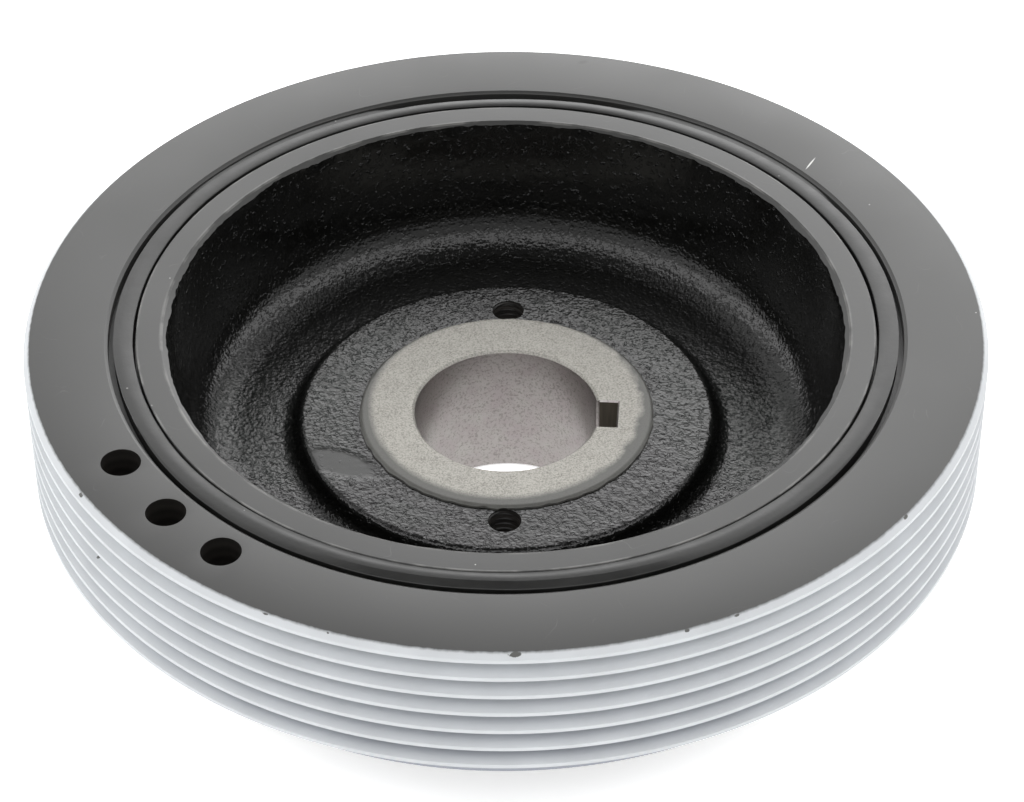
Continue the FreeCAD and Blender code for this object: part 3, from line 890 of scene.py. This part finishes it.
def around(sectors):
    """Angles of the sectors."""
    return np.arange(sectors) * FULL_TURN / sectors


def sway(angles, size, seed, reach):
    """Smooth noise round the axis: one value for each angle, between about -1 and 1."""
    places = [Vector((reach * math.cos(a) / size, reach * math.sin(a) / size, seed)) for a in angles]
    return np.array([noise.noise(place) for place in places])


class BALANCER_OT_rubber_ring(bpy.types.Operator):
    """Build the rubber ring: a swollen painted crown between two dark crevices."""
    bl_idname = "balancer.rubber_ring"
    bl_label = "Rubber ring"

    def execute(self, context):
        sizes = context.scene.balancer_rubber
        colours = context.scene.balancer_colours
        sectors = 512
        angles = around(sectors)
        crown_in = HUB_RIM_R + sizes.crown_offset
        crown_out = crown_in + sizes.crown_width
        crown_z = FRONT_Z - sizes.crown_depth
        edge_z = crown_z - sizes.crown_dome
        crevice_z = FRONT_Z - sizes.crevice_depth
        shoulder_r = crown_out + sizes.shoulder_width
        section = rounded([
            (HUB_RIM_R, RUBBER_BOX[0].z, 0, 0),
            (HUB_RIM_R, crevice_z, 0, 0),
            (crown_in, crevice_z, 0.15 * MM, 0),
            (crown_in, edge_z, 0.2 * MM, 0),
            ((crown_in + crown_out) / 2, crown_z, 5 * MM, 0),
            (crown_out, edge_z, 0.3 * MM, 0),
            (shoulder_r, edge_z - sizes.shoulder_drop, 0.25 * MM, 0),
            (shoulder_r, crevice_z, 0.15 * MM, 0),
            (RING_BORE_R, crevice_z, 0, 0),
            (RING_BORE_R, RUBBER_BOX[0].z, 0, 0)], steps=4)
        side = sway(angles, 30 * MM, 3.0, HUB_RIM_R) * 2 + sway(angles, 4 * MM, 8.0, HUB_RIM_R) * 0.4
        lift = sway(angles, 14 * MM, 21.0, HUB_RIM_R)
        near = -np.sin(angles)
        elsewhere = 1 - smooth_step(near, 0.2, 1.0)
        level = 1 - (1 - elsewhere) * (sizes.shoulder_ease
                                       + (1 - sizes.shoulder_ease) * smooth_step(near, 0.88, 1.0))
        closed = smooth_step(near, 0.55, 0.85)
        filled = smooth_step(-near, 0.3, 0.6) * (1 - 0.8 * smooth_step(-near, 0.92, 1.0))
        rows = np.zeros((len(section), sectors, 3))
        for i, (r, z, _) in enumerate(section):
            free = min(1.0, max(0.0, (z - crevice_z) / (0.8 * MM)))
            radius = np.full(sectors, r)
            if HUB_RIM_R + 0.01 * MM < r < RING_BORE_R - 0.01 * MM:
                share = min(1.0, (r - crown_in) / sizes.crown_width)
                beyond = min(1.0, max(0.0, (r - crown_out) / sizes.shoulder_width))
                radius = r + sizes.crown_shift * np.sin(angles)
                radius = radius + sizes.crown_swell * share * np.cos(2 * angles)
                radius = radius - sizes.shoulder_width * elsewhere * beyond + sizes.wander * free * side
                lean = sizes.crown_tilt * np.maximum(near, 0) * (2 * share - 1)
                raised = sizes.shoulder_drop * level * beyond + sizes.bridge_lift * closed
                on_inner_edge = share < 0.5 and z > edge_z - 0.25 * MM
                z = z + free * (raised + lean + 0.04 * MM * lift)
                if on_inner_edge:
                    z = z + closed * np.maximum(FRONT_Z - sizes.bridge_depth - z, 0)
            if r > crown_out:
                above_back = z > crevice_z - 0.01 * MM
                z = z + filled * np.maximum(FRONT_Z - sizes.filled_depth - z, 0) * above_back
            radius = np.clip(radius, HUB_RIM_R, RING_BORE_R)
            rows[i, :, 0] = radius * np.cos(angles)
            rows[i, :, 1] = radius * np.sin(angles)
            rows[i, :, 2] = z
        mesh = turned_mesh("rubber_damping_ring", rows, np.zeros(len(section)))
        face_outwards(mesh)
        shade_by_angle(mesh, 40)
        ring = link_object("rubber_damping_ring", mesh, [painted_rubber(colours)])
        finish_piece(ring, "rubber_ring")
        return {"FINISHED"}


# Hub

MACHINED, CAST, LAND, BORE, SNOUT, KEYWAY, THREAD = range(7)

# Everything of the bowl lies above this depth, and the web's back below it
FRONT_DEPTH = 25 * MM

# Without a fixed seed, noise_vector starts elsewhere in each run
GRAIN_SEED = 7


def hub_section(sizes):
    """Outline of the hub as (r, z, fillet, band), from the rim's back over the front to the web's back."""
    floor_z = FRONT_Z - sizes.bowl_depth
    boss_z = FRONT_Z - sizes.boss_depth
    land_z = FRONT_Z - sizes.land_depth
    web_z = floor_z - sizes.web_thickness
    rim_z = HUB_REAR_RIM_Z
    wall_run = (sizes.bowl_depth - 0.4 * MM) * math.tan(sizes.bowl_draft)
    boss_run = (sizes.bowl_depth - sizes.boss_depth) * math.tan(sizes.boss_draft)
    edge = sizes.rim_edge
    bevel_r = sizes.mouth_r - sizes.bevel_width
    bevel_z = FRONT_Z - sizes.bevel_width * math.tan(sizes.bevel_slope)
    inner_rim = HUB_RIM_R - sizes.rear_rim_wall
    return [
        (HUB_RIM_R, rim_z, 0, MACHINED),
        (HUB_RIM_R, FRONT_Z - edge, 0, MACHINED),
        (HUB_RIM_R - edge, FRONT_Z, 0, MACHINED),
        (sizes.mouth_r, FRONT_Z, 0.1 * MM, MACHINED),
        (bevel_r, bevel_z, 0, CAST),
        (bevel_r - wall_run, floor_z, sizes.bowl_fillet, CAST),
        (sizes.boss_r + boss_run, floor_z, sizes.boss_foot, CAST),
        (sizes.boss_r, boss_z, sizes.boss_edge, CAST),
        (sizes.land_r + 0.3 * MM, boss_z, 0, CAST),
        (sizes.land_r, boss_z, 0, LAND),
        (sizes.land_r - 0.05 * MM, (boss_z + land_z) / 2, 0, LAND),
        (sizes.land_r - sizes.land_edge, land_z, 1.5 * MM, LAND),
        (sizes.bore_r + sizes.bore_chamfer, land_z, 0.08 * MM, LAND),
        (sizes.bore_r, land_z - sizes.bore_chamfer, 0.08 * MM, BORE),
        (sizes.bore_r, sizes.bore_rear_chamfer, 0, BORE),
        (sizes.bore_r + sizes.bore_rear_chamfer, 0, 0, SNOUT),
        (sizes.snout_r - sizes.snout_lead, 0, 0, SNOUT),
        (sizes.snout_r, sizes.snout_lead, 0.3 * MM, SNOUT),
        (sizes.snout_r, web_z, 2 * MM, CAST),
        (inner_rim, web_z, 1.5 * MM, CAST),
        (inner_rim, rim_z, 0.2 * MM, MACHINED)]


def even_rows(points, step, fine_bands):
    """Add rings so that the fine bands have none further apart than the step."""
    rows = []
    count = len(points)
    for i, (r, z, band) in enumerate(points):
        rows.append((r, z, band))
        after = points[(i + 1) % count]
        front = min(z, after[1]) > FRONT_Z - FRONT_DEPTH
        gap = math.hypot(after[0] - r, after[1] - z)
        pieces = math.ceil(gap / step) if band in fine_bands and front else 1
        for k in range(1, pieces):
            t = k / pieces
            rows.append((r + (after[0] - r) * t, z + (after[1] - z) * t, band))
    return rows


def smooth_step(value, low, high):
    """Smooth rise from 0 at low to 1 at high."""
    t = np.clip((value - low) / (high - low), 0, 1)
    return t * t * (3 - 2 * t)


def cast_grain(point, sizes):
    """Height of the sand casting's skin at a point: pits between flat tops, over low lumps."""
    size = sizes.grain
    warp = noise.noise_vector(point / (2.5 * size)) * 0.4
    pit = smooth_step(noise.noise(point / size + warp), -0.35, -0.02)
    fine = noise.noise(point / (0.5 * size) + Vector((7.3, 1.1, 4.7)))
    lump = noise.noise(point / (4.5 * size) + Vector((2.9, 8.3, 5.1)))
    return pit + 0.12 * fine + 0.35 * lump - 0.8


def hub_mesh(sizes):
    """The hub's skin with its bore, as rings about the axis. The cast surfaces get their grain here."""
    points = even_rows(rounded(hub_section(sizes), steps=8), sizes.row_step, {CAST})
    angles = around(sizes.sectors)
    radii = np.array([p[0] for p in points])
    heights = np.array([p[1] for p in points])
    bands = np.array([p[2] for p in points])
    rows = np.zeros((len(points), sizes.sectors, 3))

    # The cast wall is a little out of round and uneven where the turned bevel runs into it
    ragged = 0.22 * MM * sway(angles, 1.3 * MM, 5.0, sizes.mouth_r)
    ragged = ragged + 0.3 * MM * sway(angles, 6 * MM, 9.0, sizes.mouth_r)
    oval = -0.25 * MM * np.cos(2 * angles) - 0.15 * MM * np.sin(angles)
    uneven_depth = 2.5 * MM

    front = heights > FRONT_Z - FRONT_DEPTH
    for i, (r, z) in enumerate(zip(radii, heights)):
        depth = FRONT_Z - z
        radius = np.full(sizes.sectors, r)
        height = np.full(sizes.sectors, z)
        if bands[i] == CAST and front[i] and r > sizes.boss_r + 4 * MM:
            share = smooth_step(1 - depth / uneven_depth, 0, 1)
            radius = r + (oval + ragged) * share
            height = z + (oval + ragged) * share * math.tan(sizes.bevel_slope)
        if bands[i] == LAND and r > sizes.land_r - 0.1 * MM:
            radius = r + 0.25 * MM * sway(angles, 2.2 * MM, 12.0, sizes.land_r)
        if bands[i] == CAST and sizes.land_r < r < sizes.land_r + 0.6 * MM:
            radius = r + 0.25 * MM + 0.5 * MM * sway(angles, 1.3 * MM, 15.0, sizes.land_r)
        rows[i, :, 0] = radius * np.cos(angles)
        rows[i, :, 1] = radius * np.sin(angles)
        rows[i, :, 2] = height

    # Grain moves each ring along the section's own normal
    noise.seed_set(GRAIN_SEED)
    before = np.roll(np.arange(len(points)), 1)
    after = np.roll(np.arange(len(points)), -1)
    run_r = radii[after] - radii[before]
    run_z = heights[after] - heights[before]
    size_of_run = np.hypot(run_r, run_z)
    normal_r, normal_z = run_z / size_of_run, -run_r / size_of_run
    cast_rows = [i for i in range(len(points)) if bands[i] == CAST and bands[i - 1] == CAST]
    patch_x, patch_y, _ = SMOOTH_PATCH["centre"]
    along, across, _ = SMOOTH_PATCH["half_sizes"]
    cos, sin = math.cos(SMOOTH_PATCH["turn"]), math.sin(SMOOTH_PATCH["turn"])
    skin = 1 - 0.7 * smooth_step(np.abs(normal_r), 0.5, 0.95)
    for i in cast_rows:
        at_land, from_mouth = 1.0, 1.0
        if front[i]:
            at_land = smooth_step(radii[i], sizes.land_r + 0.3 * MM, sizes.land_r + 1.2 * MM)
            from_mouth = smooth_step(FRONT_Z - heights[i], 0.0, 1.0 * MM)
        for j in range(sizes.sectors):
            point = Vector(rows[i, j])
            x, y = point.x - patch_x, point.y - patch_y
            spread = math.hypot((cos * x + sin * y) / along, (cos * y - sin * x) / across)
            calm = 0.1 + 0.9 * smooth_step(spread, 0.65, 1.25)
            move = cast_grain(point, sizes) * sizes.relief * at_land * from_mouth * calm * skin[i]
            rows[i, j, 0] += move * normal_r[i] * math.cos(angles[j])
            rows[i, j, 1] += move * normal_r[i] * math.sin(angles[j])
            rows[i, j, 2] += move * normal_z[i]
    return turned_mesh("cast_hub", rows, bands)


def thread_cutter(sizes, direction):
    """Cutter for one puller hole: a screw surface a little longer than the web is thick."""
    sectors, steps = 48, 6
    low = FRONT_Z - sizes.bowl_depth - sizes.web_thickness - 0.6 * MM
    high = FRONT_Z - sizes.boss_depth + 0.9 * MM
    count = int((high - low) / sizes.thread_pitch * steps)
    angles = around(sectors)
    rows = np.zeros((count + 3, sectors, 3))
    depth = sizes.thread_major_r - sizes.thread_minor_r
    centre = (sizes.thread_circle_r * math.cos(direction), sizes.thread_circle_r * math.sin(direction))
    for i in range(count + 1):
        z = low + (high - low) * i / count
        phase = (z / sizes.thread_pitch - angles / FULL_TURN) % 1.0
        tooth = np.clip(1.35 * (1 - np.abs(2 * phase - 1)) - 0.1, 0, 1)
        if z > FRONT_Z - sizes.boss_depth - 0.3 * MM:
            tooth = np.ones(sectors)
        radius = sizes.thread_minor_r + depth * tooth
        rows[i + 1, :, 0] = centre[0] + radius * np.cos(angles)
        rows[i + 1, :, 1] = centre[1] + radius * np.sin(angles)
        rows[i + 1, :, 2] = z
    rows[0] = rows[1] * (0, 0, 1) + np.array([centre[0], centre[1], 0])
    rows[-1] = rows[-2] * (0, 0, 1) + np.array([centre[0], centre[1], 0])
    mesh = turned_mesh("thread_cutter", rows, np.full(count + 2, THREAD), closed=False)
    face_outwards(mesh)
    return mesh


def keyway_cutter(sizes):
    """Cutter for the keyway, with deburred edges along the bore and a flare at the land."""
    top = FRONT_Z - sizes.land_depth
    half = sizes.keyway_width / 2
    far = sizes.bore_r + sizes.keyway_depth
    wall = math.sqrt(sizes.bore_r ** 2 - half ** 2)
    near = wall - 4 * MM
    burr = 0.4 * MM
    flare = 0.25 * MM
    work = bmesh.new()
    loops = []
    for z, grow in ((-1 * MM, 0), (top - flare, 0), (top + 2 * flare, 3 * flare)):
        side = [
            (near, half + 3 * burr), (wall - 2 * burr, half + 3 * burr),
            (wall + burr, half + grow), (far + grow, half + grow)]
        corners = [(x, -y) for x, y in side] + side[::-1]
        loops.append([work.verts.new((x, y, z)) for x, y in corners])
    work.faces.new(loops[0])
    work.faces.new(loops[-1])
    count = len(loops[0])
    for level, (lower, upper) in enumerate(zip(loops, loops[1:])):
        for k in range(count):
            face = work.faces.new((lower[k], lower[(k + 1) % count], upper[(k + 1) % count], upper[k]))
            bright = level == 1 or k in (1, 5)
            face.material_index = BORE if bright else KEYWAY
    bmesh.ops.recalc_face_normals(work, faces=work.faces)
    bmesh.ops.rotate(work, verts=work.verts, matrix=Matrix.Rotation(sizes.keyway_angle, 3, "Z"))
    mesh = bpy.data.meshes.new("keyway_cutter")
    work.to_mesh(mesh)
    work.free()
    return mesh


def cut(obj, mesh):
    """Take a cutter's shape out of a piece. The walls of the cut take the cutter's material."""
    tool = bpy.data.objects.new("cutter", mesh)
    bpy.context.scene.collection.objects.link(tool)
    for material in obj.data.materials:
        mesh.materials.append(material)
    modifier = obj.modifiers.new("Cut", "BOOLEAN")
    modifier.operation = "DIFFERENCE"
    modifier.solver = "EXACT"
    modifier.object = tool
    modifier.material_mode = "INDEX"
    evaluated = obj.evaluated_get(bpy.context.evaluated_depsgraph_get())
    result = bpy.data.meshes.new_from_object(evaluated)
    obj.modifiers.remove(modifier)
    obj.data = result
    bpy.data.objects.remove(tool)


class BALANCER_OT_hub(bpy.types.Operator):
    """Build the hub: machined rim, rough cast bowl and boss, bare land, keyed bore, threads and snout."""
    bl_idname = "balancer.hub"
    bl_label = "Hub"

    def execute(self, context):
        sizes = context.scene.balancer_hub
        colours = context.scene.balancer_colours
        mesh = hub_mesh(sizes)
        face_outwards(mesh)
        hub = link_object("cast_hub", mesh, [
            satin_black(colours), gloss_black(colours), bare_iron(colours),
            bored_iron(colours), ground_steel(colours), broached_iron(colours), drilled_black(colours)])
        cut(hub, keyway_cutter(sizes))
        for direction in (math.pi / 2, -math.pi / 2):
            cut(hub, thread_cutter(sizes, direction))
        face_outwards(hub.data)
        shade_by_angle(hub.data, 30, soft_slots=(CAST,))
        finish_piece(hub, "hub")
        return {"FINISHED"}


# Stage

class BALANCER_OT_stage(bpy.types.Operator):
    """Set up the pale floor, the soft white surround and the camera."""
    bl_idname = "balancer.stage"
    bl_label = "Floor, light and camera"

    def execute(self, context):
        settings = context.scene.balancer_stage
        colours = context.scene.balancer_colours
        scene = context.scene
        scene.view_settings.view_transform = "Standard"
        self.add_camera(scene, settings)
        self.add_floor(settings, colours)
        self.add_surround(scene, settings)
        return {"FINISHED"}

    def add_camera(self, scene, settings):
        """Camera at the photograph's place, turned about the axis by its azimuth."""
        turn = Matrix.Rotation(settings.azimuth, 3, "Z")
        reach = settings.distance * math.cos(settings.elevation)
        rise = settings.distance * math.sin(settings.elevation)
        place = turn @ Vector((0, -reach, FRONT_Z + rise))
        target = turn @ Vector((settings.aim_side, -settings.aim_near, FRONT_Z))
        forward = (target - place).normalized()
        right = forward.cross(Vector((0, 0, 1))).normalized()
        up = right.cross(forward)
        cos, sin = math.cos(settings.roll), math.sin(settings.roll)
        right, up = cos * right + sin * up, cos * up - sin * right
        data = bpy.data.cameras.new("product_camera")
        data.sensor_fit = "HORIZONTAL"
        data.lens = data.sensor_width * settings.focal_pixels / settings.picture_width
        data.clip_start, data.clip_end = 0.01, 20
        camera = bpy.data.objects.new("product_camera", data)
        scene.collection.objects.link(camera)
        axes = Matrix((right, up, -forward)).transposed()
        camera.matrix_world = Matrix.Translation(place) @ axes.to_4x4()
        scene.camera = camera

    def add_floor(self, settings, colours):
        """A wide pale floor under the snout."""
        half = 1.6
        glow_from, glow_to = 15 * MM, 16 * MM
        corners = [(-half, -half, 0), (half, -half, 0), (half, half, 0), (-half, half, 0)]
        mesh = bpy.data.meshes.new("studio_floor")
        mesh.from_pydata(corners, [], [(0, 1, 2, 3)])
        material, tree, shader, place = new_material("pale_floor")
        paper = add(tree, "ShaderNodeTexNoise", (), {"Vector": place, "Scale": per(40), "Detail": 2.0})
        colour = mottled(tree, colours.floor, paper, (0.0, 1.0), (0.99, 1.0))
        flat = add(tree, "ShaderNodeVectorMath", {"operation": "LENGTH"}, [place])
        glow = add(tree, "ShaderNodeMapRange", (), {
            "Value": flat, "From Min": glow_from, "From Max": glow_to,
            "To Min": 1.0, "To Max": settings.floor_glow})
        feed(tree, shader, {
            "Base Color": colour, "Roughness": 0.9,
            "Emission Color": (1, 1, 1, 1), "Emission Strength": glow})
        floor = link_object("studio_floor", mesh, [material])

    def add_surround(self, scene, settings):
        """A white light tent: bright walls, a dimmer top and a bright panel behind the part."""
        world = bpy.data.worlds.new("white_tent")
        world.use_nodes = True
        tree = world.node_tree
        tree.nodes.clear()
        direction = add(tree, "ShaderNodeTexCoord").outputs["Generated"]
        parts = add(tree, "ShaderNodeSeparateXYZ", (), [direction])
        tent = add(tree, "ShaderNodeMapRange", {"interpolation_type": "SMOOTHSTEP"}, {
            "Value": parts.outputs["Z"], "From Min": 0.72, "From Max": 0.97,
            "To Min": settings.walls, "To Max": settings.opening})
        sides = add(tree, "ShaderNodeMapRange", (), {
            "Value": parts.outputs["X"], "From Min": -1.0, "From Max": 1.0, "To Min": 1.15, "To Max": 0.85})
        behind_camera = add(tree, "ShaderNodeMapRange", {"interpolation_type": "SMOOTHSTEP"}, {
            "Value": parts.outputs["Y"], "From Min": -1.0, "From Max": -0.3, "To Min": 0.65, "To Max": 1.0})
        shade = add(tree, "ShaderNodeMath", {"operation": "MULTIPLY"}, [sides, behind_camera])
        walls = add(tree, "ShaderNodeMath", {"operation": "MULTIPLY"}, [tent, shade])
        towards = add(tree, "ShaderNodeVectorMath", {"operation": "DOT_PRODUCT"}, {
            0: direction, 1: Vector((0.15, 0.9, 0.41)).normalized()})
        panel = add(tree, "ShaderNodeMapRange", (), {
            "Value": towards, "From Min": 0.85, "From Max": 1.0, "To Min": 0.0, "To Max": settings.back_glow})
        camera_side = Vector((0, -math.cos(settings.elevation), math.sin(settings.elevation)))
        between = add(tree, "ShaderNodeVectorMath", {"operation": "ADD"}, [direction, camera_side])
        halfway = add(tree, "ShaderNodeVectorMath", {"operation": "NORMALIZE"}, [between])
        level = add(tree, "ShaderNodeSeparateXYZ", (), [halfway]).outputs["Z"]
        foot_out, foot_in, top_in, top_out = [math.cos(math.radians(degrees)) for degrees in (49, 44, 38, 34)]
        lamp_foot = add(tree, "ShaderNodeMapRange", {"interpolation_type": "SMOOTHSTEP"}, {
            "Value": level, "From Min": foot_out, "From Max": foot_in})
        lamp_top = add(tree, "ShaderNodeMapRange", {"interpolation_type": "SMOOTHSTEP"}, {
            "Value": level, "From Min": top_in, "From Max": top_out,
            "To Min": settings.front_lamp, "To Max": 0.0})
        lamp = add(tree, "ShaderNodeMath", {"operation": "MULTIPLY"}, [lamp_foot, lamp_top])
        lights = add(tree, "ShaderNodeMath", {"operation": "ADD"}, [panel, lamp])
        strength = add(tree, "ShaderNodeMath", {"operation": "ADD"}, [walls, lights])
        light = add(tree, "ShaderNodeBackground", (), {"Color": (1, 1, 1, 1), "Strength": strength})
        add(tree, "ShaderNodeOutputWorld", (), {"Surface": light})
        scene.world = world


class VIEW3D_PT_balancer(bpy.types.Panel):
    """Sidebar panel with one button for each piece."""
    bl_label = "Harmonic balancer"
    bl_space_type = "VIEW_3D"
    bl_region_type = "UI"
    bl_category = "Balancer"

    def draw(self, context):
        for operator in OPERATORS:
            self.layout.operator(operator.bl_idname)


GROUPS = {
    "balancer_ring": BalancerRing, "balancer_rubber": BalancerRubber, "balancer_hub": BalancerHub,
    "balancer_colours": BalancerColours, "balancer_stage": BalancerStage}
OPERATORS = [BALANCER_OT_stage, BALANCER_OT_hub, BALANCER_OT_rubber_ring, BALANCER_OT_pulley_ring]


def register():
    for group in GROUPS.values():
        bpy.utils.register_class(group)
    for name, group in GROUPS.items():
        setattr(bpy.types.Scene, name, PointerProperty(type=group))
    for operator in OPERATORS:
        bpy.utils.register_class(operator)
    bpy.utils.register_class(VIEW3D_PT_balancer)


def unregister():
    bpy.utils.unregister_class(VIEW3D_PT_balancer)
    for operator in reversed(OPERATORS):
        bpy.utils.unregister_class(operator)
    for name, group in GROUPS.items():
        delattr(bpy.types.Scene, name)
        bpy.utils.unregister_class(group)


def main():
    """Build every piece."""
    register()
    bpy.ops.balancer.stage()
    bpy.ops.balancer.hub()
    bpy.ops.balancer.rubber_ring()
    bpy.ops.balancer.pulley_ring()


if __name__ == "__main__":
    main()
